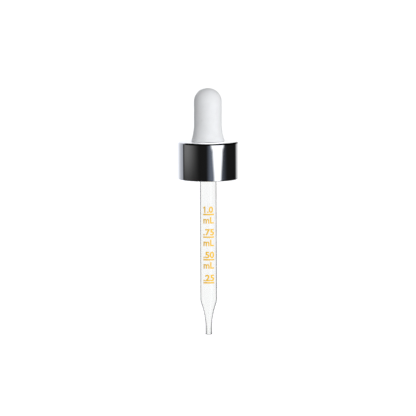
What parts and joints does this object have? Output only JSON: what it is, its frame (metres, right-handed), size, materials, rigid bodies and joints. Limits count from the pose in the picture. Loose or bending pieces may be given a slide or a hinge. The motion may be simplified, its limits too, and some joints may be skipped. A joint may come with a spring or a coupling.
{
  "type": "medicine dropper",
  "caption": "Screw-on medicine dropper: polished metal closure with a rubber squeeze bulb above it and a graduated glass pipette, drawn to a fine tip, below it.",
  "frame": {"origin": "on the axis, at the seal plane where the bulb's flange meets the bottle's lip", "axes": "+Z along the axis from the pipette's tip towards the bulb; X is the direction in which the bulb is squeezed, and the graduations face -Y"},
  "size_m": [0.0246, 0.0246, 0.101],
  "materials": {
    "polished_shell": "mirror polished",
    "white_plastic": "moulded, slightly waxy",
    "white_rubber": "smooth, soft sheen",
    "clear_glass": "clear, fire-polished ends"
  },
  "bodies": {
    "closure": {"outer_shell": "polished_shell", "inner_cap": "white_plastic"},
    "bulb_and_pipette": {"bulb_body": "white_rubber", "glass_pipette": "clear_glass"},
    "squeeze_wall_left": {"bulb_wall_left": "white_rubber"},
    "squeeze_wall_right": {"bulb_wall_right": "white_rubber"}
  },
  "joints": [
    {"name": "cap_swivel", "type": "hinge", "parent": "closure", "child": "bulb_and_pipette", "pos_m": [0, 0, 0.0021], "axis": [0, 0, 1], "continuous": true},
    {"name": "squeeze_left", "type": "slide", "parent": "bulb_and_pipette", "child": "squeeze_wall_left", "axis": [1, 0, 0], "range_m": [0, 0.003], "stiffness_N_per_m": 1200},
    {"name": "squeeze_right", "type": "slide", "parent": "bulb_and_pipette", "child": "squeeze_wall_right", "axis": [-1, 0, 0], "range_m": [0, 0.003], "stiffness_N_per_m": 1200}
  ],
  "couplings": [
    {"joint": "squeeze_right", "follows": "squeeze_left", "ratio": 1}
  ]
}
